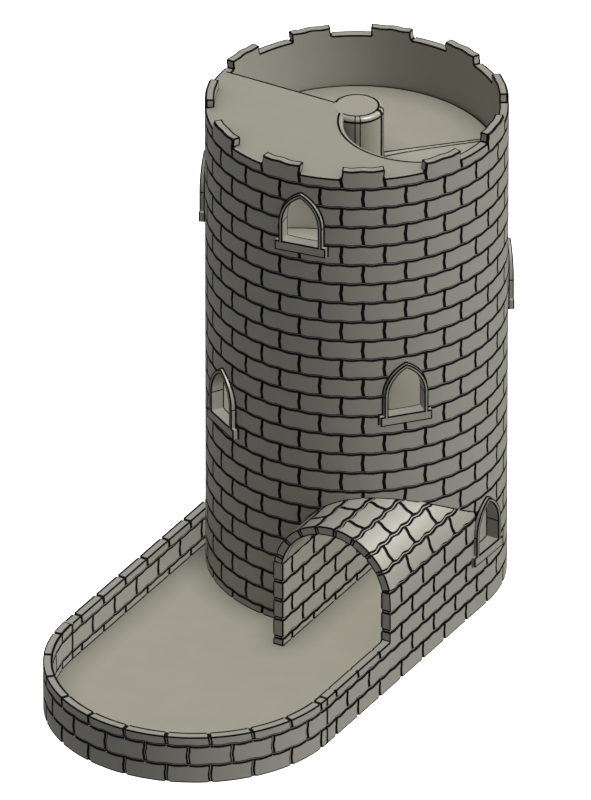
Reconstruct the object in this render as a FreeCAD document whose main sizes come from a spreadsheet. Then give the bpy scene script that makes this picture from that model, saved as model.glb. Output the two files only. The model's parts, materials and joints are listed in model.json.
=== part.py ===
import FreeCAD, Part
import math
import os
import re
import Sketcher

# A round castle dice tower with its rolling tray. Dice dropped through the open half of the top land on a flat
# half ring, run down a helical ramp around a centre post and leave through a vaulted tunnel into the tray.
# Millimetres, +Z up. The origin is on the tower's axis at the underside, and the tray reaches towards -Y.

SIZES = {
    # Tower drum, in courses of brick; each bed joint lies a little below its course line
    "tower_radius": 56, "wall_thick": 3.6, "course_high": 8, "bed_offset": 0.65,
    "section_courses": 8, "lip_high": 2, "lip_half": 1.8,
    # Battlements
    "parapet_high": 4, "merlon_high": 3.55, "merlon_count": 11,
    # Floor and tray
    "floor_thick": 4, "tray_reach": 119, "tray_high": 19.2, "cope_end": 8,
    # Tunnel from the tower's foot to the tray
    "tunnel_left": 6, "tunnel_right": 56, "tunnel_front": 72, "tunnel_back": 2,
    "tunnel_wall": 4.2, "vault_thick": 3.4, "spring_high": 35.4,
    # Top deck, with the bite that dice fall through
    "deck_thick": 3, "deck_edge": 1.75,
    "bite_radius": 28.75, "bite_round": 1.5, "bite_east": 26.5, "bite_north": 1.5,
    # Centre post, landing and helical ramp
    "post_radius": 10, "socket_radius": 6, "socket_deep": 2,
    "landing_top": 174.4, "landing_turn": 180, "ramp_turn": 45, "ramp_thick": 3, "ramp_pitch": 80,
    "flight_turn": 120, "exit_turn": 46.8, "fit_gap": 0.05,
    # Pointed window surrounds, stepping down round the drum
    "window_turn": 278.6, "window_step": 80, "window_foot": 163, "window_fall": 17.78,
    "window_face": 57.5, "window_root": 48, "frame_half": 8.5, "frame_band": 1.5,
    "sill_half": 9.95, "sill_high": 3.8, "spring_rise": 11.8, "arch_offset": 5.7,
}
FLIGHTS = 6
WINDOWS = 9
TINY = 1e-9

DOC = FreeCAD.newDocument("dice_tower")
DIMS = DOC.addObject("Spreadsheet::Sheet", "Dims")
for row, (alias, number) in enumerate(SIZES.items(), start=1):
    DIMS.set(f"A{row}", alias.replace("_", " "))
    DIMS.set(f"B{row}", str(number))
    DIMS.setAlias(f"B{row}", alias)
DOC.recompute()

# Radii and heights that several pieces share, written in the sheet's names
INNER = "(tower_radius - wall_thick)"
LIP = "(tower_radius - lip_half)"
WALL_TOP = "(3 * section_courses * course_high - bed_offset)"
DECK_TOP = f"({WALL_TOP} + parapet_high)"
VAULT_RADIUS = "((tunnel_right - tunnel_left) / 2)"
VAULT_EAST = "((tunnel_right + tunnel_left) / 2)"
TUNNEL_LONG = "tunnel_front - tunnel_back"


def bound(words):
    """The expression with each alias written as the sheet's cell."""
    return re.sub(r"\b[a-z]+_[a-z]+\b", lambda match: "Dims." + match.group(), words)


def size(words):
    """The expression's present value, in millimetres or degrees."""
    return float(DIMS.evalExpression(words))


def bind(item, **fields):
    """Bind properties to expressions; a double underscore stands for a dot in a property's path."""
    for field, words in fields.items():
        item.setExpression(field.replace("__", "."), bound(words))


def place(item, x="0", y="0", z="0", turn=None):
    """Stand an object at a place given by expressions, turned about +Z."""
    if turn:
        item.Placement = FreeCAD.Placement(FreeCAD.Vector(), FreeCAD.Rotation(FreeCAD.Vector(0, 0, 1), 1))
        bind(item, Placement__Rotation__Angle=turn)
    bind(item, Placement__Base__x=x, Placement__Base__y=y, Placement__Base__z=z)


def origin_item(body, role):
    return next(item for item in body.Origin.OriginFeatures if item.Role == role)


def new_body(name):
    return DOC.addObject("PartDesign::Body", name)


def new_sketch(body, plane):
    """A sketch on one of the body's own origin planes."""
    drawing = body.newObject("Sketcher::SketchObject", f"{body.Name}_sketch")
    drawing.AttachmentSupport = [(origin_item(body, plane), "")]
    drawing.MapMode = "FlatFace"
    return drawing


def measure(drawing, kind, *target, words):
    """A dimension of the sketch that follows an expression."""
    index = drawing.addConstraint(Sketcher.Constraint(kind, *target, size(words)))
    drawing.setExpression(f"Constraints[{index}]", bound(words))


def hold_point(drawing, geometry, end, x=None, y=None):
    """Hold one point of the sketch at the coordinates that are given, as expressions."""
    for kind, words, axis in (("DistanceX", x, -2), ("DistanceY", y, -1)):
        if words and abs(size(words)) < TINY:
            drawing.addConstraint(Sketcher.Constraint("PointOnObject", geometry, end, axis))
        elif words:
            measure(drawing, kind, -1, 1, geometry, end, words=words)


def add_circle(drawing, x, y, radius):
    centre = FreeCAD.Vector(size(x), size(y), 0)
    circle = drawing.addGeometry(Part.Circle(centre, FreeCAD.Vector(0, 0, 1), size(radius)))
    hold_point(drawing, circle, 3, x, y)
    measure(drawing, "Radius", circle, words=radius)


def add_loop(drawing, corners):
    """A closed outline. A corner is (x, y), or (x, y, bend) where an arc runs to the next corner.

    A bend is (centre x, centre y, way), and its way is 1 for anticlockwise and -1 for clockwise. The arc's ends
    are held, and so is its centre's place along the line midway between them.
    """
    points = [FreeCAD.Vector(size(corner[0]), size(corner[1]), 0) for corner in corners]
    ends = []
    for index, corner in enumerate(corners):
        start, finish = points[index], points[(index + 1) % len(points)]
        if len(corner) == 2:
            ends.append((drawing.addGeometry(Part.LineSegment(start, finish)), 1, 2))
            continue
        centre_x, centre_y, way = corner[2]
        centre = FreeCAD.Vector(size(centre_x), size(centre_y), 0)
        first, last = (start, finish) if way > 0 else (finish, start)
        angles = [math.atan2(point.y - centre.y, point.x - centre.x) for point in (first, last)]
        circle = Part.Circle(centre, FreeCAD.Vector(0, 0, 1), start.distanceToPoint(centre))
        arc = drawing.addGeometry(Part.ArcOfCircle(circle, angles[0], angles[1]))
        ends.append((arc, 1, 2) if way > 0 else (arc, 2, 1))
    for index, corner in enumerate(corners):
        geometry, start, finish = ends[index]
        after = ends[(index + 1) % len(ends)]
        drawing.addConstraint(Sketcher.Constraint("Coincident", geometry, finish, after[0], after[1]))
        hold_point(drawing, geometry, start, corner[0], corner[1])
        if len(corner) == 3:
            span = points[(index + 1) % len(points)] - points[index]
            if abs(span.x) > abs(span.y):
                hold_point(drawing, geometry, 3, y=corner[2][1])
            else:
                hold_point(drawing, geometry, 3, x=corner[2][0])


def extrude(body, drawing, kind="Pad", **fields):
    """A pad or a pocket of a sketch; a pocket cuts both ways unless it is given a length."""
    feature = body.newObject(f"PartDesign::{kind}", f"{drawing.Name}_{kind}")
    feature.Profile = drawing
    if fields:
        bind(feature, **fields)
    else:
        feature.Type = "ThroughAll"
        feature.Midplane = True
    return feature


def padded(name, corners, length, foot="0", plane="XY_Plane"):
    """A body padded from one outline, its sketch raised to a foot height."""
    body = new_body(name)
    drawing = new_sketch(body, plane)
    add_loop(drawing, corners)
    bind(drawing, AttachmentOffset__Base__z=foot)
    extrude(body, drawing, Length=length)
    return body


def turned(name, corners):
    """A body of revolution about Z from an outline of (radius, height) corners."""
    body = new_body(name)
    drawing = new_sketch(body, "XZ_Plane")
    add_loop(drawing, corners)
    feature = body.newObject("PartDesign::Revolution", f"{name}_turn")
    feature.Profile = drawing
    feature.ReferenceAxis = (origin_item(body, "Z_Axis"), [""])
    return body


def block(name, low, high):
    """A box between two corners given by expressions."""
    box = DOC.addObject("Part::Box", name)
    place(box, *low)
    spans = [f"{top} - ({bottom})" for bottom, top in zip(low, high)]
    bind(box, Length=spans[0], Width=spans[1], Height=spans[2])
    return box


def cylinder(name, radius, height, foot="0"):
    item = DOC.addObject("Part::Cylinder", name)
    bind(item, Radius=radius, Height=height)
    place(item, z=foot)
    return item


def cut(name, base, *tools):
    """The base less every tool, one boolean after another."""
    for step, tool in enumerate(tools, start=1):
        result = DOC.addObject("Part::Cut", name if step == len(tools) else f"{name}_step{step}")
        result.Base, result.Tool = base, tool
        base = result
    return base


def fused(name, *items):
    result = DOC.addObject("Part::MultiFuse", name)
    result.Shapes = items
    return result


def ring_sector(radius_in, radius_out, angle_from, angle_to):
    """The four corners of a flat ring sector about the origin, anticlockwise."""
    def corner(radius, angle, *bend):
        return (f"{radius} * cos(({angle}) * 1 deg)", f"{radius} * sin(({angle}) * 1 deg)", *bend)
    return [corner(radius_out, angle_from, ("0", "0", 1)), corner(radius_out, angle_to),
            corner(radius_in, angle_to, ("0", "0", -1)), corner(radius_in, angle_from)]


def base_plate():
    """The floor of tower and tray in one, its rim rebated under every wall, with a socket for the post."""
    body = padded("plate_blank", [
        (LIP, "0", ("0", "0", 1)), (f"-{LIP}", "0"),
        (f"-{LIP}", "-tray_reach", ("0", "-tray_reach", 1)), (LIP, "-tray_reach")], "floor_thick")
    socket = cylinder("post_socket", "socket_radius + fit_gap", "floor_thick", "floor_thick - socket_deep")
    return cut("base_plate", body, socket)


def tray_walls(plate):
    """The half-round end and the two straight sides, each rebated over the plate."""
    end_blank = padded("tray_end_blank", [
        ("-tower_radius", "-tray_reach", ("0", "-tray_reach", 1)),
        ("tower_radius", "-tray_reach"), (INNER, "-tray_reach", ("0", "-tray_reach", -1)),
        (f"-{INNER}", "-tray_reach")], "tray_high")
    left_blank = block("tray_left_blank", ("-tower_radius", "-tray_reach", "0"),
                       (f"-{INNER}", "-cope_end", "tray_high"))
    right_blank = block("tray_right_blank", (INNER, "-tray_reach", "0"),
                        ("tower_radius", "-tunnel_front", "tray_high"))
    drum = cylinder("cope_drum", "tower_radius", "tray_high + 2 * floor_thick", "-floor_thick")
    return [cut("tray_end_wall", end_blank, plate), cut("tray_left_wall", left_blank, drum, plate),
            cut("tray_right_wall", right_blank, plate)]


def pointed_arch(half):
    """The two arcs of a pointed arch, from its left springing over its apex to its right springing."""
    left, right = ("arch_offset", "spring_rise", -1), ("-arch_offset", "spring_rise", -1)
    apex = f"spring_rise + sqrt(({half} + arch_offset) ^ 2 - arch_offset ^ 2)"
    return [(f"-{half}", "spring_rise", left), ("0", apex, right), (half, "spring_rise")]


def window_outline():
    """The outside of a window unit: sill, jambs and arch."""
    return [("-sill_half", "0"), ("-sill_half", "sill_high"), ("-frame_half", "sill_high"),
            *pointed_arch("frame_half"),
            ("frame_half", "sill_high"), ("sill_half", "sill_high"), ("sill_half", "0")]


def window_opening():
    """The clear opening inside a window's frame."""
    half = "(frame_half - frame_band)"
    return [(f"-{half}", "sill_high"), *pointed_arch(half), (half, "sill_high")]


def window_unit(name, index, face, opening):
    """A window's outline pushed out along the radius, with its opening or filled as a cutting tool."""
    body = new_body(name)
    drawing = new_sketch(body, "YZ_Plane")
    add_loop(drawing, window_outline())
    if opening:
        add_loop(drawing, window_opening())
    bind(drawing, AttachmentOffset__Base__z="window_root")
    extrude(body, drawing, Length=f"{face} - window_root")
    place(body, z=f"window_foot - {index} * window_fall", turn=f"window_turn - {index} * window_step")
    return body


def window_surrounds():
    """Nine one-piece surrounds, each trimmed flush with the inside of the drum."""
    for index in range(WINDOWS):
        foot = f"window_foot - {index} * window_fall - 1"
        bore = cylinder(f"window_bore_{index + 1}", INNER, "3 * spring_rise", foot)
        blank = window_unit(f"surround_blank_{index + 1}", index, "window_face", True)
        yield cut(f"window_surround_{index + 1}", blank, bore)


def tunnel_envelope():
    """The solid outside of the tunnel, which clears its way through the drum."""
    outline = [
        ("tunnel_left", "-floor_thick"), ("tunnel_right + floor_thick", "-floor_thick"),
        ("tunnel_right + floor_thick", "spring_high"),
        ("tunnel_right", "spring_high", (VAULT_EAST, "spring_high", 1)), ("tunnel_left", "spring_high")]
    return padded("tunnel_envelope", outline, TUNNEL_LONG, "tunnel_back", "XZ_Plane")


def tunnel(plate, holes):
    """Two brick walls and the half-round vault that stands on them."""
    outer_blank = block("tunnel_outer_blank", ("tunnel_right - tunnel_wall", "-tunnel_front", "0"),
                        ("tunnel_right", "-tunnel_back", "spring_high"))
    inner_blank = block("tunnel_inner_blank", ("tunnel_left", "-tunnel_front", "floor_thick"),
                        ("tunnel_left + tunnel_wall", "0", "spring_high"))
    post = cylinder("post_clearance", "post_radius + fit_gap", "2 * spring_high")
    inside = f"({VAULT_RADIUS} - vault_thick)"
    outline = [
        ("tunnel_right", "spring_high", (VAULT_EAST, "spring_high", 1)), ("tunnel_left", "spring_high"),
        (f"{VAULT_EAST} - {inside}", "spring_high", (VAULT_EAST, "spring_high", -1)),
        (f"{VAULT_EAST} + {inside}", "spring_high")]
    vault_blank = padded("vault_blank", outline, TUNNEL_LONG, "tunnel_back", "XZ_Plane")
    bore = cylinder("vault_bore", INNER, "4 * spring_high")
    return [cut("tunnel_outer_wall", outer_blank, plate, holes), cut("tunnel_inner_wall", inner_blank, post),
            cut("tunnel_vault", vault_blank, bore, holes)]


def drum_section(name, foot, top):
    """A ring of eight courses whose inner half stands up as a spigot and is rebated at the foot."""
    seat = f"({foot} + lip_high)" if foot != "0" else "0"
    foot_corners = [(INNER, seat), (LIP, seat), (LIP, foot)] if foot != "0" else [(INNER, "0")]
    return turned(name, foot_corners + [
        ("tower_radius", foot), ("tower_radius", top), (LIP, top), (LIP, f"{top} + lip_high"),
        (INNER, f"{top} + lip_high")])


def drum(plate, envelope, holes):
    """Three stacked sections, parted at bed joints of the brickwork."""
    tops = [f"({count} * section_courses * course_high - bed_offset)" for count in (1, 2, 3)]
    lower = drum_section("drum_lower_blank", "0", tops[0])
    middle = drum_section("drum_middle_blank", tops[0], tops[1])
    upper = drum_section("drum_upper_blank", tops[1], tops[2])
    return [cut("drum_lower", lower, plate, envelope, holes), cut("drum_middle", middle, holes),
            cut("drum_upper", upper, holes)]


def bite_tool():
    """What the dice's way takes out of the deck: a drum shape that flares out over the rounded top edge."""
    shoulder = f"({DECK_TOP} - bite_round)"
    brim = "(bite_radius + bite_round)"
    tool = turned("bite_tool", [
        ("0", f"({WALL_TOP} - deck_thick)"), ("bite_radius", f"({WALL_TOP} - deck_thick)"),
        ("bite_radius", shoulder, (brim, shoulder, -1)), (brim, DECK_TOP), (brim, f"({DECK_TOP} + deck_thick)"),
        ("0", f"({DECK_TOP} + deck_thick)")])
    place(tool, x="bite_east", y="bite_north")
    return tool


def top_deck():
    """The flat half deck: a rim flange on the drum's spigot, a bite for the dice and a hole for the post."""
    body = new_body("deck_blank")
    levels = ((LIP, f"({WALL_TOP} + lip_high)", f"{DECK_TOP} - {WALL_TOP} - lip_high"),
              (INNER, f"({DECK_TOP} - deck_thick)", "deck_thick"))
    for radius, foot, thick in levels:
        reach = f"sqrt({radius} ^ 2 - deck_edge ^ 2)"
        drawing = new_sketch(body, "XY_Plane")
        add_loop(drawing, [(f"-{reach}", "-deck_edge", ("0", "0", 1)), (reach, "-deck_edge")])
        bind(drawing, AttachmentOffset__Base__z=foot)
        extrude(body, drawing, Length=thick)
    drawing = new_sketch(body, "XY_Plane")
    add_circle(drawing, "0", "0", "(post_radius + fit_gap)")
    bind(drawing, AttachmentOffset__Base__z=f"{DECK_TOP} + 1")
    extrude(body, drawing, "Pocket", Length="2 * deck_thick")
    return cut("top_deck", body, bite_tool())


def battlement_ring(deck):
    """The parapet ring and its merlons, rebated over the drum's spigot and the deck's flange."""
    body = turned("battlement_blank", [
        (INNER, f"({WALL_TOP} + lip_high)"), (LIP, f"({WALL_TOP} + lip_high)"), (LIP, WALL_TOP),
        ("tower_radius", WALL_TOP), ("tower_radius", DECK_TOP), (INNER, DECK_TOP)])
    drawing = new_sketch(body, "XY_Plane")
    add_loop(drawing, ring_sector(INNER, "tower_radius", "0", "180 / merlon_count"))
    bind(drawing, AttachmentOffset__Base__z=f"{DECK_TOP} - 1")
    merlon = extrude(body, drawing, Length="merlon_high + 1")
    DOC.recompute()
    pattern = body.newObject("PartDesign::PolarPattern", "merlons")
    pattern.Originals = [merlon]
    pattern.Axis = (origin_item(body, "Z_Axis"), [""])
    pattern.Angle = 360
    bind(pattern, Occurrences="merlon_count")
    body.Tip = pattern
    return cut("battlement_ring", body, deck)


def centre_post():
    """The post, spigoted into the plate and level with the deck."""
    return turned("centre_post", [
        ("0", "floor_thick - socket_deep"), ("socket_radius", "floor_thick - socket_deep"),
        ("socket_radius", "floor_thick"), ("post_radius", "floor_thick"), ("post_radius", DECK_TOP),
        ("0", DECK_TOP)])


RAMP_INNER = "(post_radius + fit_gap)"
RAMP_OUTER = "(tower_radius - wall_thick - fit_gap)"


def landing():
    """The flat half ring under the deck and the drop opening, where the ramp starts."""
    return padded("landing", ring_sector(RAMP_INNER, RAMP_OUTER, "ramp_turn", "ramp_turn + landing_turn"),
                  "ramp_thick", "landing_top - ramp_thick")


def ramp_flight(name, index, turn):
    """One helical flight, which falls clockwise from the end of the flight above."""
    body = new_body(name)
    drawing = new_sketch(body, "XZ_Plane")
    add_loop(drawing, [
        (RAMP_INNER, "0"), (RAMP_OUTER, "0"), (RAMP_OUTER, "ramp_thick"), (RAMP_INNER, "ramp_thick")])
    flight = body.newObject("PartDesign::AdditiveHelix", f"{name}_helix")
    flight.Profile = drawing
    flight.ReferenceAxis = (origin_item(body, "Z_Axis"), [""])
    flight.Mode = "pitch-turns-angle"
    bind(flight, Pitch="ramp_pitch", Turns=f"{turn} / 360")
    foot_turn = f"({index} * flight_turn + {turn})"
    place(body, z=f"landing_top - ramp_thick - ramp_pitch * {foot_turn} / 360", turn=f"ramp_turn - {foot_turn}")
    return body


def ramp(plate):
    """Six equal flights and the short exit flight that feathers out on the floor."""
    flights = [ramp_flight(f"ramp_flight_{index + 1}", index, "flight_turn") for index in range(FLIGHTS)]
    exit_blank = ramp_flight("ramp_exit_blank", FLIGHTS, "exit_turn")
    return flights + [cut("ramp_exit", exit_blank, plate)]


def build():
    """Every sub-part of the tower, in the order that they go together."""
    plate = base_plate()
    envelope = tunnel_envelope()
    cutters = [window_unit(f"window_cutter_{index + 1}", index, "(window_face + 2)", False)
               for index in range(WINDOWS)]
    holes = fused("window_holes", *cutters)
    deck = top_deck()
    return [plate, *tray_walls(plate), *tunnel(plate, holes), *drum(plate, envelope, holes), centre_post(),
            *ramp(plate), landing(), deck, battlement_ring(deck), *window_surrounds()]


def check(parts):
    """Stop before anything is written if an object failed or a sub-part isn't a valid solid."""
    failed = [item.Name for item in DOC.Objects if {"Invalid", "Error"} & set(item.State)]
    broken = [part.Label for part in parts
              if part.Shape.isNull() or not part.Shape.isValid() or not part.Shape.Solids]
    if failed or broken:
        raise RuntimeError(f"failed objects {failed}, broken sub-parts {broken}")


PARTS = build()
DOC.recompute()
check(PARTS)
os.makedirs("parts", exist_ok=True)
for part in PARTS:
    part.Shape.exportStep(f"parts/{part.Label}.step")
    box = part.Shape.BoundBox
    print(f"{part.Label:22s} {len(part.Shape.Solids)} solid {part.Shape.Volume:10.1f} mm3",
          f"x {box.XMin:.1f}..{box.XMax:.1f} y {box.YMin:.1f}..{box.YMax:.1f} z {box.ZMin:.1f}..{box.ZMax:.1f}")
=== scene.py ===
import json
import math
from types import SimpleNamespace
import bmesh
import bpy
import numpy as np
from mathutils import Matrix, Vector
from mathutils.geometry import tessellate_polygon

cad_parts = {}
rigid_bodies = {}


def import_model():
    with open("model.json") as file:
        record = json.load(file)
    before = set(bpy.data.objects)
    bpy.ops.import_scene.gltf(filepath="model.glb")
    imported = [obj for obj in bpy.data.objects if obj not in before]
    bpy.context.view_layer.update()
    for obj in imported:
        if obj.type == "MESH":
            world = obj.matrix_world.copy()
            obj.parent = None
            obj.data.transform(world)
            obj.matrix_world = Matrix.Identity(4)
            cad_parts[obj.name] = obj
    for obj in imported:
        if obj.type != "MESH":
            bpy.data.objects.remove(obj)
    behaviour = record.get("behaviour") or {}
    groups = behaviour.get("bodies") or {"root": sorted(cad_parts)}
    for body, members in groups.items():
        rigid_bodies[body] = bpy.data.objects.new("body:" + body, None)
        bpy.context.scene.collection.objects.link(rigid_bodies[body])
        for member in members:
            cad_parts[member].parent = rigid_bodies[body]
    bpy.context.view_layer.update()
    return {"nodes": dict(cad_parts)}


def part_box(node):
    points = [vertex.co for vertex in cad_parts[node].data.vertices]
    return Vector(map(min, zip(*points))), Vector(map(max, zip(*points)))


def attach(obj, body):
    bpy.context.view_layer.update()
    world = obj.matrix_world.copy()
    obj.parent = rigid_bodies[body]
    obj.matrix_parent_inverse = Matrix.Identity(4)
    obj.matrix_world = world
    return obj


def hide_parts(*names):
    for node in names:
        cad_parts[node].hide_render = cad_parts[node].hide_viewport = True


# A castle dice tower in satin grey-olive plastic with dark washed joints. The frame gives the sizes. The
# walls are built again here as lattices with real brick joints, and the rest as lofts and helical lattices.
# Lengths are in millimetres and turn into metres in add_mesh.

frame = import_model()

MM = 0.001
TINY = 1e-4
BODY = "root"


def low(node):
    """The lowest corner of a CAD node, in millimetres."""
    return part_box(node)[0] / MM


def high(node):
    """The highest corner of a CAD node, in millimetres."""
    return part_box(node)[1] / MM


# Sizes read from the frame
DRUM = high("drum_middle").x
WALL = high("tray_left_wall").x - low("tray_left_wall").x
INNER = DRUM - WALL
LIP = WALL / 2
FLOOR = high("base_plate").z
TRAY_TOP = high("tray_end_wall").z
TRAY_REACH = -high("tray_end_wall").y
COPE = -high("tray_left_wall").y
PARAPET = low("battlement_ring").z
DECK_TOP = high("top_deck").z
DECK_FOOT = low("top_deck").z
DECK_EDGE = high("top_deck").y
POST = high("centre_post").x
LANDING_TOP = high("landing").z
RAMP_THICK = LANDING_TOP - low("landing").z
TUNNEL_LEFT = low("tunnel_inner_wall").x
TUNNEL_RIGHT = high("tunnel_outer_wall").x
TUNNEL_WALL = high("tunnel_inner_wall").x - TUNNEL_LEFT
TUNNEL_FRONT = low("tunnel_vault").y
TUNNEL_BACK = high("tunnel_outer_wall").y
SPRING = low("tunnel_vault").z
VAULT = (TUNNEL_RIGHT - TUNNEL_LEFT) / 2
VAULT_X = (TUNNEL_RIGHT + TUNNEL_LEFT) / 2
VAULT_THICK = 3.4

# Brickwork: bricks twice as long as they are tall, 24 courses to the parapet and one more in the merlons.
# Each bed joint lies a little under its course line. A half is half a brick's length, and a shift moves a
# run of bricks along its wall.
COURSE = 8.0
COURSES = 25
BED_DROP = 0.65
DRUM_BRICKS = 22
DRUM_HALF = math.pi * DRUM / DRUM_BRICKS
DRUM_SHIFT = math.radians(-0.5) * DRUM
TRAY_HALF = math.radians(16.667) / 2 * DRUM
TRAY_SHIFT = math.radians(189.2) * DRUM
VAULT_FOOT = math.radians(10.5) * VAULT
VAULT_COURSE = math.radians(19) * VAULT
VAULT_JOINTS = 9
SECTION = 8

# Joints: how wide the uprights, the beds and the clear strips down their middles are on each kind of wall,
# and how far they wave. An upright's wave has its start and its length as shares of a course.
JOINT_WIDE, BED_WIDE, STRIP = 1.1, 1.25, 0.16
TRAY_JOINT, TRAY_STRIP = 1.4, 0.25
STRAIGHT_WIDE, STRAIGHT_BED, STRAIGHT_STRIP, STRAIGHT_WAVE = 1.4, 1.65, 0.3, 0.24
VAULT_JOINT, VAULT_BED, VAULT_STRIP = 1.5, 1.75, 0.3
VAULT_SWAY, VAULT_WAVE = 0.34, 0.34
BED_WAVE, JOINT_WAVE = 0.17, 0.22
SWAY_START, SWAY_LENGTH = 0.17, 0.7

# Relief: how deep the joints lie outside and inside, the share of it at a merlon's top, how deep the joints
# notch a top or an end, and how much is left one depth or one mark further in
RELIEF, INNER_RELIEF = 0.55, 0.3
CROWN_RELIEF = 0.6
NOTCH, END_NOTCH = 0.22, 0.18
NEXT_DEPTH, NEXT_MARK = 0.85, 0.75

# Lines: the widths of the dark bands along edges, and of the seams round what is let into the drum
LINE = 0.5
RIM, DRUM_RIM = 0.85, 0.62
SEAM = 0.9
FOOT_LINE = 0.65
GAP, GROOVE = 0.5, 0.16
UNDERSIDE_LINE = 3.5

# Marks: how far apart they are, how far past a joint the next one is, and how wide a cell is that can't be
# a line any more
PITCH, DRUM_ROWS, WALL_ROWS = 1.9, 1.5, 1.4
EASE = 0.12
THIN = 0.95

# The drum's lips, and the turns in degrees between which its wall stands in the tray and its ring carries
# the deck
LIP_HIGH = 1.6
IN_TRAY = (188.5, 357.5)
UNDER_RING = (182, 344.5)

# Ramp, in degrees of turn about the post
LANDING_FROM, LANDING_TO = 225.0, 45.0
RAMP_PITCH = 80.0
FLIGHT_TURN = 120.0
FLIGHTS = 6
EXIT_TURN = 46.8
TURN_STEP, BEND_TURN = 3.0, 18.0
LINE_APART, LINE_AT_POST, LINE_AT_RIM = 1.05, 0.32, 0.6
RAMP_POST_LINE, RAMP_RIM_LINE = 0.35, 0.75
RAMP_RINGS = (18, 27, 36, 44)

# Windows, stepping down round the drum
WINDOWS = 9
WINDOW_TURN, WINDOW_STEP = 278.6, 80.0
WINDOW_FOOT, WINDOW_FALL = 163.0, 17.78
WINDOW_FACE = 57.5
WINDOW_ROOT, WINDOW_REACH = 46, 60
FRAME_HALF, FRAME_BAND = 8.5, 1.5
SILL_HALF, SILL_HIGH = 9.95, 3.8
SPRING_RISE, ARCH_OFFSET = 11.8, 5.7

# Cutters start below the part, and end above the tray and tunnel walls or above the vault
BELOW, ABOVE_WALLS, ABOVE_VAULT = -5, 60, 100

# The layers of a wall's cells from its outside to its middle and from there to its inside
OUTER_HALF, INNER_HALF = [0, 1], [2, 3]

# What keeps the deck and the ramp clear of the wall and the post, and how thick the ramp's end feathers out
FIT, FEATHER = 0.05, 0.02

# Material indices
FACE, INK = 0, 1


# Materials -------------------------------------------------------------------------------------------

# Noise scales in turns a metre, how deep the grain is, and how near a neighbour has to be for the painted
# shade to darken a corner
MOTTLE, SHEEN, GRAIN = 90, 400, 2600
GRAIN_DEEP = 0.05
PAINTED_SHADE_REACH = 12.0


def plastic(name, tint, rough=0.42, grain=0.35, gloss=0.5, corners=1.0):
    """Satin moulded plastic: faint mottling, a fine grain and a roughness that varies slightly.

    corners says how much of the tint is left in a tight corner: an ambient occlusion node paints shade into
    the colour there, darker the tighter the corner.
    """
    material = bpy.data.materials.new(name)
    material.use_nodes = True
    nodes, links = material.node_tree.nodes, material.node_tree.links
    shader = nodes["Principled BSDF"]
    shader.inputs["Specular IOR Level"].default_value = gloss
    place = nodes.new("ShaderNodeTexCoord")

    def noise(scale, detail):
        node = nodes.new("ShaderNodeTexNoise")
        node.inputs["Scale"].default_value = scale
        node.inputs["Detail"].default_value = detail
        links.new(place.outputs["Object"], node.inputs["Vector"])
        return node.outputs["Fac"]

    def spread(source, bottom, top):
        node = nodes.new("ShaderNodeMapRange")
        node.inputs["To Min"].default_value, node.inputs["To Max"].default_value = bottom, top
        links.new(source, node.inputs["Value"])
        return node.outputs["Result"]

    mottle = nodes.new("ShaderNodeMixRGB")
    mottle.inputs["Color1"].default_value = (*lighter(tint, 0.95), 1)
    mottle.inputs["Color2"].default_value = (*lighter(tint, 1.05), 1)
    links.new(noise(MOTTLE, 3), mottle.inputs["Fac"])
    colour = mottle.outputs["Color"]
    # Painted shade in corners and at the feet of walls, multiplied into the base colour
    if corners < 1:
        painted_shade_ao = nodes.new("ShaderNodeAmbientOcclusion")
        painted_shade_ao.inputs["Distance"].default_value = PAINTED_SHADE_REACH * MM
        painted_shade_ao.samples = 8
        # Painted shade: the AO darkens the base colour. A right angle leaves half of the light, so the range
        # is stretched to reach corners there
        with_painted_shade = nodes.new("ShaderNodeMixRGB")
        with_painted_shade.blend_type = "MULTIPLY"
        with_painted_shade.inputs["Fac"].default_value = 1
        links.new(colour, with_painted_shade.inputs["Color1"])
        links.new(spread(painted_shade_ao.outputs["AO"], 2 * corners - 1, 1), with_painted_shade.inputs["Color2"])
        colour = with_painted_shade.outputs["Color"]
    links.new(colour, shader.inputs["Base Color"])
    links.new(spread(noise(SHEEN, 2), rough - 0.05, rough + 0.05), shader.inputs["Roughness"])
    bump = nodes.new("ShaderNodeBump")
    bump.inputs["Strength"].default_value = grain
    bump.inputs["Distance"].default_value = GRAIN_DEEP * MM
    links.new(noise(GRAIN, 3), bump.inputs["Height"])
    links.new(bump.outputs["Normal"], shader.inputs["Normal"])
    return material


def lighter(tint, share):
    """A tint times a share."""
    return [channel * share for channel in tint]


WALL_TINT = (0.305, 0.3, 0.259)
FLAT_TINT = (0.31, 0.2985, 0.2485)
PLASTIC = plastic("satin_olive_brick", WALL_TINT)
# The deck and the floor carry painted shade in their corners (corners below 1)
SMOOTH = plastic("satin_olive_deck", FLAT_TINT, rough=0.4, grain=0.2, corners=0.62)
LEVEL = plastic("satin_olive_floor", lighter(FLAT_TINT, 1.055), rough=0.58, grain=0.2, gloss=0.35,
                corners=0.62)
TRIM = plastic("satin_olive_trim", WALL_TINT, rough=0.4, grain=0.2)
TURNED = plastic("satin_olive_post", lighter(FLAT_TINT, 1.12), rough=0.3, grain=0.12)
DARK = plastic("dark_joint_wash", (0.0035, 0.0033, 0.0025), rough=0.75, grain=0.5, gloss=0.08)


# Meshes ----------------------------------------------------------------------------------------------

def finish_mesh(mesh, sharp=28):
    """Smooth shading that stays crisp across edges sharper than an angle in degrees."""
    mesh.polygons.foreach_set("use_smooth", [True] * len(mesh.polygons))
    mesh.set_sharp_from_angle(angle=math.radians(sharp))
    mesh.update()


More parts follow.
